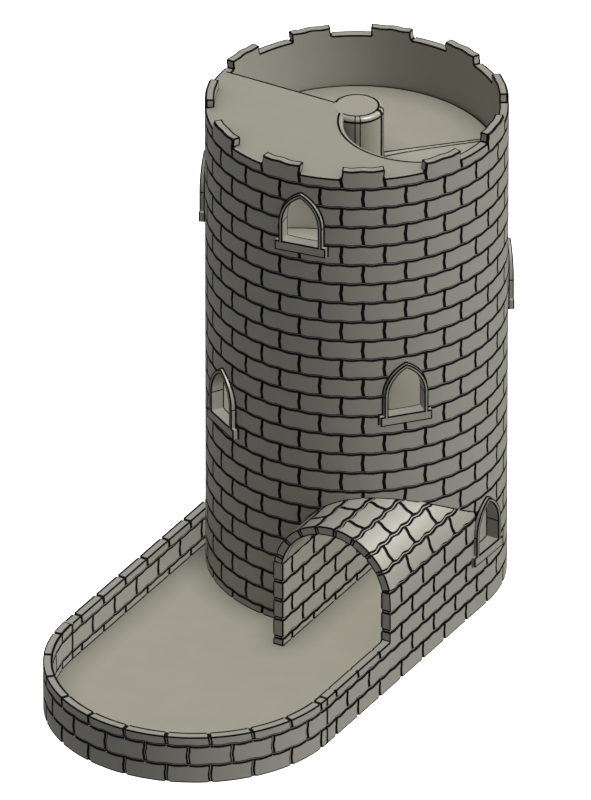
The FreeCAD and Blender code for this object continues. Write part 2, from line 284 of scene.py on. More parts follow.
def add_mesh(name, points, faces, paint=None, materials=(PLASTIC, DARK), face_out=False):
    """A mesh object from millimetre points, its faces turned outwards if they aren't already."""
    mesh = bpy.data.meshes.new(name)
    metres = (np.asarray(points, dtype=float) * MM).tolist()
    mesh.from_pydata(metres, [], [list(map(int, face)) for face in faces])
    for material in materials:
        mesh.materials.append(material)
    if paint is not None:
        mesh.polygons.foreach_set("material_index", np.asarray(paint, dtype=np.int32))
    if face_out:
        work = bmesh.new()
        work.from_mesh(mesh)
        bmesh.ops.recalc_face_normals(work, faces=work.faces)
        work.to_mesh(mesh)
        work.free()
    finish_mesh(mesh)
    piece = bpy.data.objects.new(name, mesh)
    bpy.context.scene.collection.objects.link(piece)
    return piece


def seat(piece, slot, *nodes):
    """Put a finished piece on the frame in place of its CAD nodes."""
    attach(piece, BODY)
    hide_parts(*nodes)
    return piece


def carve(piece, tools):
    """Take tools away from a piece at once, keeping its materials."""
    for tool in tools:
        modifier = piece.modifiers.new("carve", "BOOLEAN")
        modifier.operation, modifier.object, modifier.solver = "DIFFERENCE", tool, "MANIFOLD"
    bpy.context.view_layer.update()
    mesh = bpy.data.meshes.new_from_object(piece.evaluated_get(bpy.context.evaluated_depsgraph_get()))
    piece.modifiers.clear()
    piece.data = mesh
    finish_mesh(mesh)
    return piece


def discard(tools):
    for tool in tools:
        bpy.data.objects.remove(tool)


def prism(name, outline, place, fill=FACE):
    """A solid between two copies of an outline, each put in space by place(point, end)."""
    count = len(outline)
    points = [place(point, end) for end in (0, 1) for point in outline]
    sides = [(i, (i + 1) % count, count + (i + 1) % count, count + i) for i in range(count)]
    faces = [tuple(reversed(range(count))), tuple(range(count, 2 * count)), *sides]
    return add_mesh(name, points, faces, [fill] * len(faces), face_out=True)


# Lattices --------------------------------------------------------------------------------------------

def marks(fixed, joints, wide, pitch=PITCH, around=None, strip=0.0):
    """Places along a wall: the fixed ones, some across each joint (place, parity) and even ones between.

    Gives each mark's place, whether it lies in a groove, its joint's parity or -1, and whether the clear
    strip down the middle of a joint starts there.
    """
    spots = [(place, False, -1, False) for place in fixed]
    for place, parity in joints:
        at_end = any(abs(spot[0] - place) < TINY for spot in spots)
        inner = [-strip / 2, strip / 2] if strip else [0]
        if strip and at_end:
            inner.append(0)
        steps = [-wide / 2 - EASE, -wide / 2, *inner, wide / 2, wide / 2 + EASE]
        spots = [spot for spot in spots if abs(spot[0] - place) > TINY]
        spots += [(place + step, abs(step) <= wide / 2, parity, -strip / 2 <= step < strip / 2)
                  for step in steps]
    if fixed and around is None:
        spots = [spot for spot in spots if min(fixed) - TINY <= spot[0] <= max(fixed) + TINY]
    spots.sort()
    filled = []
    for index, spot in enumerate(spots):
        filled.append(spot)
        last = index + 1 == len(spots)
        if last and around is None:
            continue
        after = spots[0][0] + around if last else spots[index + 1][0]
        gaps = max(1, round((after - spot[0]) / pitch))
        filled += [(spot[0] + (after - spot[0]) * step / gaps, False, -1, False) for step in range(1, gaps)]
    at, deep, parity, clear = (np.array(column) for column in zip(*filled))
    inside = np.array([place for place, _ in joints if at[0] < place < at[-1] - TINY])
    return SimpleNamespace(at=at, deep=deep, parity=parity, clear=clear, around=around, joints=inside)


def rims(start, end, width=LINE):
    """An open wall's two ends, each with a narrow cell for the ink along its edge."""
    return [start, start + width, end - width, end]


def every_joint(start, end, zero, half):
    """Every joint (place, parity) from start to end; the parities take turns."""
    first, last = math.ceil((start - zero) / half - TINY), math.floor((end - zero) / half + TINY)
    return [(zero + index * half, index % 2) for index in range(first, last + 1)]


def skin(solid, shape, ring):
    """The quads between solid and empty cells: their corners, way, first mark and the marks' steps."""
    index = np.arange(np.prod(shape)).reshape(shape)
    found = []
    for way in range(3):
        wrap = ring and way == 0
        cells = solid if wrap else np.pad(solid, [(1, 1) if axis == way else (0, 0) for axis in range(3)])
        before = np.roll(cells, 1, axis=0) if wrap else cells.take(range(cells.shape[way] - 1), axis=way)
        after = cells if wrap else cells.take(range(1, cells.shape[way]), axis=way)
        where = np.argwhere(before != after)
        steps = [axis for axis in range(3) if axis != way]
        corners = []
        for first, second in ((0, 0), (1, 0), (1, 1), (0, 1)):
            at = where.copy()
            at[:, steps[0]] += first
            at[:, steps[1]] += second
            if ring:
                at[:, 0] %= shape[0]
            corners.append(index[tuple(at.T)])
        quads = np.stack(corners, axis=1)
        outward = before[tuple(where.T)]
        flip = outward if way == 1 else ~outward
        quads[flip] = quads[flip][:, ::-1]
        found.append(SimpleNamespace(way=way, steps=steps, where=where, quads=quads))
    return found


def in_strip(part, clear):
    """Whether each quad lies in the clear strip down the middle of a joint."""
    column, row, bed = clear
    if part.way == 1:
        return np.zeros(len(part.where), dtype=bool)
    level = row[part.where[:, 1]]
    if part.way == 0:
        return level
    return level | column[part.where[:, 0]] & ~bed[part.where[:, 1]]


def inked_faces(found, thin, shape, dark, touch, clear):
    """A flag for every possible quad: narrow cells along sharp edges, grooves, and touched-up places."""
    size = int(np.prod(shape))
    quads = np.concatenate([part.quads for part in found])
    ways = np.concatenate([np.full(len(part.quads), part.way) for part in found])
    edges = np.sort(np.stack([quads, np.roll(quads, -1, axis=1)], axis=2), axis=2)
    keys, back = np.unique(edges[..., 0] * size + edges[..., 1], return_inverse=True)
    back = back.reshape(len(quads), 4)
    least, most = np.full(len(keys), 3), np.full(len(keys), -1)
    np.minimum.at(least, back, ways[:, None].repeat(4, axis=1))
    np.maximum.at(most, back, ways[:, None].repeat(4, axis=1))
    sharp = (least != most)[back]
    flags = np.zeros(3 * size, dtype=bool)
    start = 0
    for part in found:
        span = slice(start, start + len(part.quads))
        start += len(part.quads)
        first, second = part.steps
        across_first = (sharp[span, 0] | sharp[span, 2]) & thin[second][part.where[:, second]]
        across_second = (sharp[span, 1] | sharp[span, 3]) & thin[first][part.where[:, first]]
        ink = dark.reshape(-1)[part.quads].any(axis=1)
        if clear:
            ink &= ~in_strip(part, clear)
        ink |= across_first | across_second
        if touch:
            ink = touch(part, ink)
        flags[part.way * size + np.ravel_multi_index(tuple(part.where.T), shape)] = ink
    return flags


def lattice(points, parts, thin, dark, ring=False, touch=None, clear=None):
    """Each part's outside as (points, faces, paint). Parts are flags per cell, and partings get no ink."""
    shape = points.shape[:3]
    size = int(np.prod(shape))
    whole = np.logical_or.reduce(parts)
    flags = inked_faces(skin(whole, shape, ring), thin, shape, dark, touch, clear)
    flat = points.reshape(-1, 3)
    for solid in parts:
        found = skin(solid, shape, ring)
        quads = np.concatenate([part.quads for part in found])
        ids = np.concatenate([part.way * size + np.ravel_multi_index(tuple(part.where.T), shape)
                              for part in found])
        used, faces = np.unique(quads, return_inverse=True)
        places, faces = flat[used], faces.reshape(quads.shape)
        corners = places[faces]
        first = np.cross(corners[:, 0], corners[:, 1]) * corners[:, 2]
        second = np.cross(corners[:, 2], corners[:, 3]) * corners[:, 0]
        if first.sum() + second.sum() < 0:
            faces = faces[:, ::-1]
        yield places, faces, np.where(flags[ids], INK, FACE)


def thin_cells(at, around=None):
    """Which cells along a line of marks are narrow enough to hold the ink along an edge."""
    gaps = np.diff(at) if around is None else np.diff(np.append(at, at[0] + around))
    return gaps < THIN


def brickwork(along, up, thick, place, parts, zero, half, sides=(True, False), top=False, ends=(),
              touch=None, crown=(), rim=(LINE, LINE), sway=JOINT_WAVE, swell=BED_WAVE):
    """A brick wall lattice: along and up are marks, and place turns (along, up, depth) into points.

    sides says whether the outside and the inside have relief, top whether joints run across the top, ends
    the marks (index, way in) that the bed joints run across, crown which rows follow a bed joint's wave as
    the top of a merlon, rim how wide the ink is along the outer and the inner edge, and sway and swell how
    far the upright and the bed joints wave.
    """
    depths = np.array([0, rim[0], thick / 2, thick - rim[1], thick])
    count = (len(along.at), len(up.at), len(depths))
    row = np.searchsorted(up.joints, up.at)
    foot = np.concatenate([[min(up.at.min(), up.joints[0] - COURSE)], up.joints])[row]
    head = np.concatenate([up.joints, [max(up.at.max(), up.joints[-1] + COURSE)]])[row]
    drop = (head - up.at) / (head - foot)
    bed_row = up.parity >= 0
    live = (along.parity[:, None] >= 0) & (along.parity[:, None] == row[None, :] % 2) & ~up.deep[None, :]
    joint = live & along.deep[:, None]
    deep = joint | up.deep[None, :]
    share = (along.at - zero) / half
    wave = swell * (np.cos(2 * math.pi * share) - np.sin(2 * math.pi * share) / 3)
    waved = bed_row.copy()
    waved[list(crown)] = True
    u = along.at[:, None] + live * sway * np.cos(2 * math.pi * (drop[None, :] - SWAY_START) / SWAY_LENGTH)
    v = up.at[None, :] + waved[None, :] * wave[:, None] * np.ones_like(u)
    lip = np.zeros(count[:2])
    if crown:
        lip[:, crown[-1]] = CROWN_RELIEF
    depth = depths[None, None, :] * np.ones((*count[:2], 1))
    dark = np.zeros(count, dtype=bool)
    if sides[0]:
        depth[:, :, 0] += RELIEF * np.maximum(deep, lip)
        depth[:, :, 1] += RELIEF * NEXT_DEPTH * np.maximum(deep, lip)
        dark[:, :, 0] = deep | (lip > 0)
    if sides[1]:
        depth[:, :, -1] -= INNER_RELIEF * deep
        depth[:, :, -2] -= INNER_RELIEF * NEXT_DEPTH * deep
        dark[:, :, -1] = deep
    if top:
        v[:, -1] -= NOTCH * joint[:, -1]
        v[:, -2] -= NOTCH * NEXT_MARK * joint[:, -2]
        dark[:, -1, :] |= joint[:, -1, None]
    for end, way in ends:
        u[end] += way * END_NOTCH * up.deep
        u[end + way] += way * END_NOTCH * NEXT_MARK * up.deep
        dark[end] |= up.deep[:, None]
    u, v = (grid[:, :, None] * np.ones(len(depths)) for grid in (u, v))
    thin = [thin_cells(along.at, along.around), thin_cells(up.at), thin_cells(depths)]
    clear = along.clear, up.clear, up.deep & np.roll(up.deep, -1)
    for flags, strip in zip(thin[:2], clear[:2]):
        flags &= ~strip[:len(flags)]
    return lattice(place(u, v, depth), parts, thin, dark, along.around is not None, touch, clear)


def cells(along, up, flag=True):
    """A flag per cell of a wall, four cells deep."""
    wide = len(along.at) if along.around else len(along.at) - 1
    return np.full((wide, len(up.at) - 1, 4), flag)


def middles(line):
    """The middle of each cell along a line of marks."""
    at = np.append(line.at, line.at[0] + line.around) if line.around else line.at
    return (at[1:] + at[:-1]) / 2


def ring_place(centre_y=0.0):
    """Turn (arc length at the outside, height, depth) into points round a vertical axis."""
    def place(u, v, w):
        reach = DRUM - w
        return np.stack([reach * np.cos(u / DRUM), centre_y + reach * np.sin(u / DRUM), v], axis=-1)
    return place


def beds(top):
    """The bed joints below a height, as (place, parity)."""
    joints = [(COURSE * course - BED_DROP, course % 2) for course in range(1, COURSES + 1)]
    return [joint for joint in joints if joint[0] < top]


# Drum and battlements --------------------------------------------------------------------------------

def window_outline(steps=10):
    """The outside of a window surround, anticlockwise from the middle of its foot."""
    apex = SPRING_RISE + math.sqrt((FRAME_HALF + ARCH_OFFSET) ** 2 - ARCH_OFFSET ** 2)
    foot = [(SILL_HALF * step / 5, 0.0) for step in range(-5, 6)]
    right = [(SILL_HALF, SILL_HIGH), (FRAME_HALF, SILL_HIGH), (FRAME_HALF, SPRING_RISE - LINE)]
    return foot + right + pointed_arch(FRAME_HALF, apex, steps) + [(-x, z) for x, z in reversed(right)]


def pointed_arch(half, apex, steps):
    """The points of a pointed arch from its right springing over its apex to its left springing."""
    radius = half + ARCH_OFFSET
    top = math.asin((apex - SPRING_RISE) / radius)
    right = [(radius * math.cos(top * step / steps) - ARCH_OFFSET,
              SPRING_RISE + radius * math.sin(top * step / steps)) for step in range(steps)]
    return right + [(0.0, apex)] + [(-x, z) for x, z in reversed(right)]


def window_opening(steps=10):
    """The clear opening of a window, anticlockwise from the middle of its sill."""
    half = FRAME_HALF - FRAME_BAND
    apex = SPRING_RISE + math.sqrt((half + ARCH_OFFSET) ** 2 - ARCH_OFFSET ** 2)
    sill = [(half * step / 4, SILL_HIGH) for step in range(-4, 5)]
    jambs = [(half, SPRING_RISE - LINE)], [(-half, SPRING_RISE - LINE)]
    return sill + jambs[0] + pointed_arch(half, apex, steps) + jambs[1]


def shifted(outline, distance):
    """An anticlockwise outline moved inwards by a distance, its corners mitred."""
    moved = []
    for before, here, after in zip(outline[-1:] + outline[:-1], outline, outline[1:] + outline[:1]):
        ways = [Vector(end) - Vector(start) for start, end in ((before, here), (here, after))]
        first, second = (Vector((-way.y, way.x)).normalized() for way in ways)
        corner = Vector(here) + (first + second) * distance / (1 + first.dot(second))
        moved.append(tuple(corner))
    return moved


def window_place(index, root, face, round_root=False):
    """Turn a window's own (across, up) and an end, 0 or 1, into a point; a round root follows the drum."""
    turn = math.radians(WINDOW_TURN - index * WINDOW_STEP)
    foot = WINDOW_FOOT - index * WINDOW_FALL

    def place(point, end):
        across, rise = point
        reach = face if end else (math.sqrt(root ** 2 - across ** 2) if round_root else root)
        x = reach * math.cos(turn) - across * math.sin(turn)
        y = reach * math.sin(turn) + across * math.cos(turn)
        return x, y, foot + rise
    return place


def window_cutters():
    """For every window a shallow dark groove round its surround, and the hole that the surround fills."""
    tools = []
    for index in range(WINDOWS):
        groove = window_place(index, DRUM - GROOVE, WINDOW_REACH, True)
        hole = window_place(index, WINDOW_ROOT, WINDOW_REACH)
        tools.append(prism(f"window_groove_{index}", shifted(window_outline(), -GAP), groove, INK))
        tools.append(prism(f"window_cutter_{index}", window_outline(), hole))
    return tools


def near(tools, bottom, top):
    """The window cutters that reach between two heights."""
    return [tool for tool in tools
            if tool.bound_box[0][2] / MM < top and tool.bound_box[6][2] / MM > bottom]


def tunnel_cutters():
    """A shallow dark groove round the tunnel where it meets the drum, and the hole that the tunnel fills."""
    def outline(gap):
        side, reach = DRUM + 5, VAULT + gap
        points = [(TUNNEL_LEFT - gap, BELOW), (side, BELOW), (side, SPRING)]
        for turn in np.radians(range(0, 181, 4)):
            points.append((VAULT_X + reach * math.cos(turn), SPRING + reach * math.sin(turn)))
        return points

    def against_drum(gap):
        return [(x, -math.sqrt(max((DRUM - GROOVE) ** 2 - x ** 2, 0)), z) for x, z in outline(gap)]

    front = [(x, TUNNEL_FRONT, z) for x, z in outline(GAP)]
    loops = [front, against_drum(GAP), against_drum(-1)]
    groove = loft("tunnel_groove", loops, lambda layer, column: True, PLASTIC)
    ends = TUNNEL_FRONT, TUNNEL_BACK
    hole = prism("tunnel_cutter", outline(0), lambda point, end: (point[0], ends[end], point[1]))
    return [groove, hole]


def drum(cutters):
    """Three drum sections and the battlement ring, from one lattice of all the courses."""
    joints = every_joint(0, (2 * DRUM_BRICKS - 1) * DRUM_HALF, 0, DRUM_HALF)
    along = marks([], [(place + DRUM_SHIFT, parity) for place, parity in joints], JOINT_WIDE,
                  around=2 * math.pi * DRUM)
    merlon_top = COURSE * COURSES - BED_DROP - BED_WIDE / 2
    fixed = [0, LINE, FLOOR, FLOOR + LINE, DECK_TOP - LINE, DECK_TOP, DECK_TOP + LINE,
             merlon_top - LINE, merlon_top]
    up = marks(fixed, beds(PARAPET + 1), BED_WIDE, pitch=DRUM_ROWS, strip=STRIP)
    high_row = middles(up)
    turn = np.degrees(middles(along) / DRUM) % 360
    levels = [0] + [int(np.searchsorted(up.at, COURSE * SECTION * part - BED_DROP)) for part in (1, 2, 3)]
    lips = [0] + [int(np.searchsorted(up.at, up.at[level] + LIP_HIGH)) for level in levels[1:]]
    parts = []
    for part in range(3):
        solid = cells(along, up, False)
        solid[:, levels[part]:levels[part + 1], :2] = True
        solid[:, lips[part]:lips[part + 1], 2:] = True
        parts.append(solid)
    on_floor = high_row < FLOOR
    in_tray = (turn >= IN_TRAY[0]) & (turn <= IN_TRAY[1])
    parts[0][:, on_floor, 2:] = False
    parts[0][np.ix_(in_tray, on_floor, OUTER_HALF)] = False
    ring = cells(along, up, False)
    ring[:, levels[3]:, :2] = True
    ring[:, lips[3]:, 2:] = True
    brick = np.floor((middles(along) - DRUM_SHIFT) / DRUM_HALF / 2).astype(int) % DRUM_BRICKS
    over_deck = (turn > UNDER_RING[0]) & (turn < UNDER_RING[1])
    ring[np.ix_(brick % 2 == 1, high_row > DECK_TOP)] = False
    ring[np.ix_(over_deck, high_row < DECK_TOP, INNER_HALF)] = False
    crown = (len(up.at) - 2, len(up.at) - 1)
    parts.append(ring)
    names = ["drum_lower", "drum_middle", "drum_upper", "battlement_ring"]
    shells = brickwork(along, up, WALL, ring_place(), parts, DRUM_SHIFT, DRUM_HALF, crown=crown,
                       rim=(DRUM_RIM, DRUM_RIM))
    tunnel = tunnel_cutters()
    heights = [up.at[level] for level in levels]
    for number, (name, (points, faces, paint)) in enumerate(zip(names, shells)):
        piece = add_mesh(f"{name}_brickwork", points, faces, paint)
        if number < 3:
            tools = near(cutters, heights[number] - 1, heights[number + 1] + 3)
            carve(piece, tools + tunnel if number == 0 else tools)
        seat(piece, "brickwork", name)
    discard(tunnel)


# Tray and tunnel -------------------------------------------------------------------------------------

def seated_on_plate(along, up):
    """Cells of a wall whose inner half stands on the base plate."""
    solid = cells(along, up)
    lift_off_plate(solid, up)
    return solid


def lift_off_plate(solid, up):
    """Leave out the cells of a wall's inner half where the base plate is."""
    solid[np.ix_(range(solid.shape[0]), middles(up) < FLOOR, INNER_HALF)] = False


def tray_rows():
    """The marks up a tray wall."""
    return marks([0, LINE, FLOOR, FLOOR + FOOT_LINE, TRAY_TOP - LINE, TRAY_TOP], beds(TRAY_TOP), BED_WIDE,
                 pitch=WALL_ROWS, strip=STRIP)


def tray_end():
    """The half-round end wall; its joints run across its top."""
    start, end = math.pi * DRUM, 2 * math.pi * DRUM
    joints = every_joint(start + 1, end - 1, TRAY_SHIFT, TRAY_HALF)
    along = marks(rims(start, end), joints, TRAY_JOINT, strip=TRAY_STRIP)
    up = tray_rows()
    shell, = brickwork(along, up, WALL, ring_place(-TRAY_REACH), [seated_on_plate(along, up)], TRAY_SHIFT,
                       TRAY_HALF, sides=(True, True), top=True, rim=(LINE, RIM))
    seat(add_mesh("tray_end_wall_brickwork", *shell), "brickwork", "tray_end_wall")


def tray_left(drum_tool):
    """The straight wall on the left, coped against the drum."""
    joints = every_joint(-TRAY_REACH + 1, -COPE - 1, 0, COURSE)
    along = marks([-TRAY_REACH, -TRAY_REACH + SEAM, -COPE], joints, STRAIGHT_WIDE)
    up = tray_rows()

    def touch(part, ink):
        """No ink across the top where the straight wall meets the round one."""
        if part.way == 1:
            ink &= part.where[:, 0] > 0
        return ink

    shell, = brickwork(along, up, WALL, lambda u, v, w: np.stack([w - DRUM, u, v], axis=-1),
                       [seated_on_plate(along, up)], 0, COURSE, sides=(True, True), top=True, touch=touch,
                       rim=(RIM, LINE))
    piece = add_mesh("tray_left_wall_brickwork", *shell)
    seat(carve(piece, [drum_tool]), "brickwork", "tray_left_wall")


def wall_top():
    """How high the tunnel's walls reach: up to the vault's first joint."""
    return SPRING + VAULT * math.sin(VAULT_FOOT / VAULT)


def wall_outside(v):
    """The outer wall's outside: upright to the springing, then on the vault's own curve."""
    return VAULT_X + np.sqrt(VAULT ** 2 - np.maximum(v - SPRING, 0) ** 2)


def right_side(cutters):
    """The tray's right wall and the tunnel's outer wall, which share one face and one run of bricks."""
    top = wall_top()
    joints = every_joint(-TRAY_REACH + 1, TUNNEL_BACK - 1, 0, COURSE)
    cut_at = TUNNEL_FRONT
    along = marks([-TRAY_REACH, -TRAY_REACH + SEAM, cut_at, TUNNEL_BACK],
                  [joint for joint in joints if abs(joint[0] - cut_at) > 1], STRAIGHT_WIDE)
    up = marks([0, LINE, FLOOR, FLOOR + LINE, TRAY_TOP - LINE, TRAY_TOP, TRAY_TOP + LINE, top],
               beds(top - 1) + [(top, 1)], STRAIGHT_BED, pitch=WALL_ROWS, strip=STRAIGHT_STRIP)
    in_tray = middles(along) < cut_at
    in_rows = middles(up) < TRAY_TOP
    tray, tunnel = cells(along, up, False), cells(along, up, False)
    tray[np.ix_(in_tray, in_rows)] = True
    tunnel[~in_tray] = True
    for solid in (tray, tunnel):
        lift_off_plate(solid, up)

    def place(u, v, w):
        thick = np.where(u >= cut_at - TINY, TUNNEL_WALL, WALL)
        outside = wall_outside(v)
        inside = DRUM - thick
        return np.stack([outside - w / WALL * (outside - inside), u, v], axis=-1)

    jamb = int(np.argmin(abs(along.at - cut_at)))
    shells = brickwork(along, up, WALL, place, [tray, tunnel], 0, COURSE, sides=(True, True),
                       ends=[(jamb, 1)], rim=(LINE, DRUM_RIM), swell=STRAIGHT_WAVE)
    for name, shell in zip(["tray_right_wall", "tunnel_outer_wall"], shells):
        piece = add_mesh(f"{name}_brickwork", *shell)
        if name == "tunnel_outer_wall":
            carve(piece, near(cutters, 0, top))
        seat(piece, "brickwork", name)


def tunnel_inner(post_tool):
    """The free-standing wall from the tray to the post; its bricks are counted from zero."""
    top = wall_top()
    end, zero = -1.0, -1.3
    joints = every_joint(TUNNEL_FRONT + 1.2, end - 1, zero, COURSE)
    along = marks(rims(TUNNEL_FRONT, end), joints, STRAIGHT_WIDE)
    up = marks([FLOOR, FLOOR + FOOT_LINE, top], beds(top - 1) + [(top, 1)], STRAIGHT_BED, pitch=WALL_ROWS,
               strip=STRAIGHT_STRIP)

    def place(u, v, w):
        return np.stack([TUNNEL_LEFT + TUNNEL_WALL - w, u, v], axis=-1)

    shell, = brickwork(along, up, TUNNEL_WALL, place, [cells(along, up)], zero, COURSE, sides=(True, True),
                       ends=[(0, 1)], swell=STRAIGHT_WAVE)
    piece = add_mesh("tunnel_inner_wall_brickwork", *shell)
    seat(carve(piece, [post_tool]), "brickwork", "tunnel_inner_wall")


def vault(bore, cutters):
    """The half-round brick vault, its courses running along the tunnel."""
    start, end = VAULT_FOOT, math.pi * VAULT - VAULT_FOOT
    lengths = [(VAULT_FOOT + VAULT_COURSE * course, course % 2) for course in range(VAULT_JOINTS)]
    line_at = TUNNEL_FRONT + UNDERSIDE_LINE
    along = marks(rims(TUNNEL_FRONT, TUNNEL_BACK) + [line_at, line_at + LINE],
                  every_joint(TUNNEL_FRONT + 1, TUNNEL_BACK - 1, COURSE, COURSE), VAULT_JOINT)
    up = marks([start, end], lengths, VAULT_BED, pitch=WALL_ROWS, strip=VAULT_STRIP)
    line = np.argmin(abs(along.at - line_at))

    def place(u, v, w):
        reach, turn = VAULT - w, v / VAULT
        return np.stack([VAULT_X + reach * np.cos(turn), u, SPRING + reach * np.sin(turn)], axis=-1)

    def touch(part, ink):
        """A line on the underside, a little behind the front."""
        if part.way == 2:
            ink |= (part.where[:, 2] == 4) & (part.where[:, 0] == line)
        return ink

    shell, = brickwork(along, up, VAULT_THICK, place, [cells(along, up)], 0, COURSE, ends=[(0, 1)],
                       touch=touch, sway=VAULT_SWAY, swell=VAULT_WAVE)
    piece = add_mesh("tunnel_vault_brickwork", *shell)
    seat(carve(piece, [bore] + near(cutters, SPRING, SPRING + VAULT)), "brickwork", "tunnel_vault")


# Deck, post and ramp ---------------------------------------------------------------------------------

def loft(name, loops, paint, material):
    """A closed form from stacked loops of equal counts; paint(layer, column) says what is inked."""
    count = len(loops[0])
    points = [point for loop in loops for point in loop]
    faces, inks = [tuple(reversed(range(count)))], [FACE]
    for layer in range(len(loops) - 1):
        for column in range(count):
            after = (column + 1) % count
            corner = layer * count
            faces.append((corner + column, corner + after, corner + count + after, corner + count + column))
            inks.append(INK if paint(layer, column) else FACE)
    faces.append(tuple(range(len(points) - count, len(points))))
    inks.append(FACE)
    piece = add_mesh(name, points, faces, inks, (material, DARK), face_out=True)
    weld = piece.modifiers.new("weld", "WELD")
    weld.merge_threshold = 0.002 * MM
    return piece


def arc(centre, radius, start, end, count):
    """Points on a circle from one angle to another, in degrees, the last one left out."""
    angles = np.radians(np.linspace(start, end, count, endpoint=False))
    return [(centre[0] + radius * math.cos(angle), centre[1] + radius * math.sin(angle)) for angle in angles]


def meeting(radius, centre, other, upper):
    """The angle in degrees at which a circle about the origin meets another, on its upper or lower side."""
    distance = math.hypot(*centre)
    swing = math.degrees(math.acos((radius ** 2 + distance ** 2 - other ** 2) / (2 * radius * distance)))
    return math.degrees(math.atan2(centre[1], centre[0])) + (swing if upper else -swing)


def bearing(radius, angle):
    """The angle in degrees of a point on a circle about the origin, seen from the bite's centre."""
    point = radius * math.cos(math.radians(angle)), radius * math.sin(math.radians(angle))
    return math.degrees(math.atan2(point[1] - BITE[1], point[0] - BITE[0])) % 360


BITE = (26.5, 1.5)
BITE_RADIUS, BITE_ROUND = 28.75, 1.5
ROUNDING = (18, 36, 54, 72, 90)
FLANGE = 2
RIM_STEPS, POST_STEPS, BITE_STEPS = 90, 24, 70
POST_TOP = POST - BITE_ROUND
POST_STEP = 5.0
POST_SEAMS = [(296.0, 0.45), (307.0, 0.45), (5.7, 1.9), (21.0, 1.3)]
DECK_LINE = 0.85


def deck():
    """The half deck: a flange, a square edge, and a rounded bite that runs out on the post and the rim."""
    def outline(rim, bite, edge):
        rim_end = meeting(rim, BITE, bite, False)
        post_end = meeting(POST_TOP, BITE, bite, False)
        corner = 180 + math.degrees(math.asin(-edge / rim))
        post_start = 180 + math.degrees(math.asin(-edge / POST_TOP))
        return (arc((0, 0), rim, rim_end, corner - 360, RIM_STEPS)
                + [(-math.sqrt(rim ** 2 - edge ** 2), edge)]
                + arc((0, 0), POST_TOP, post_start, post_end + 360, POST_STEPS)
                + arc(BITE, bite, bearing(POST_TOP, post_end), bearing(rim, rim_end), BITE_STEPS))

    shoulder = DECK_TOP - BITE_ROUND
    ledge = DECK_TOP - FLANGE
    inner, outer = INNER - FIT, DRUM - LIP
    levels = [(DECK_FOOT, inner, BITE_RADIUS, 0), (ledge, inner, BITE_RADIUS, 0),
              (ledge, outer, BITE_RADIUS, 0), (shoulder - DECK_LINE, outer, BITE_RADIUS, 0),
              (shoulder, outer, BITE_RADIUS, 0)]
    for bend in np.radians(ROUNDING):
        bite = BITE_RADIUS + BITE_ROUND * (1 - math.cos(bend))
        levels.append((shoulder + BITE_ROUND * math.sin(bend), outer, bite, 0))
    levels.append((DECK_TOP, outer, BITE_RADIUS + BITE_ROUND + DECK_LINE, DECK_LINE))
    loops = [[(x, y, height) for x, y in outline(rim, bite, DECK_EDGE - inset)]
             for height, rim, bite, inset in levels]
    edge, bite_first = RIM_STEPS, RIM_STEPS + 1 + POST_STEPS

    def paint(layer, column):
        top = layer >= len(levels) - 2
        on_edge = column == edge and layer >= len(levels) - 4
        on_bite = column >= bite_first - 1 and (top or layer == 3)
        return on_edge or on_bite

    seat(loft("top_deck_moulded", loops, paint, SMOOTH), "smooth_floor", "top_deck")


def post():
    """The centre post with its rounded top edge and the seams that run down it."""
    seams = [(seam, math.degrees(width / POST) / 2) for seam, width in POST_SEAMS]
    clearance = 1.5
    angles = [angle for angle in np.arange(0, 360, POST_STEP)
              if all(abs((angle - seam + 180) % 360 - 180) > half + clearance for seam, half in seams)]
    inked = [seam - half for seam, half in seams]
    angles += inked + [seam + half for seam, half in seams]
    angles.sort()
    seam_columns = {angles.index(angle) for angle in inked}
    shoulder = DECK_TOP - BITE_ROUND
    levels = [(POST, FLOOR), (POST, FLOOR + LINE), (POST, shoulder - DECK_LINE), (POST, shoulder)]
    for bend in np.radians(ROUNDING):
        levels.append((POST_TOP + BITE_ROUND * math.cos(bend), shoulder + BITE_ROUND * math.sin(bend)))
    levels.append((POST_TOP - DECK_LINE, DECK_TOP))
    loops = [[(radius * math.cos(math.radians(angle)), radius * math.sin(math.radians(angle)), height)
              for angle in angles] for radius, height in levels]
    hidden_from = 180 + math.degrees(math.asin(-DECK_EDGE / POST_TOP))
    hidden_to = meeting(POST_TOP, BITE, BITE_RADIUS + BITE_ROUND, False) + 360
    top = len(levels) - 2

    def paint(layer, column):
        exposed = not hidden_from < angles[column] < hidden_to
        return (layer == top and exposed) or layer == 2 or (column in seam_columns and layer < top)

    seat(loft("centre_post_turned", loops, paint, TURNED), "smooth_floor", "centre_post")


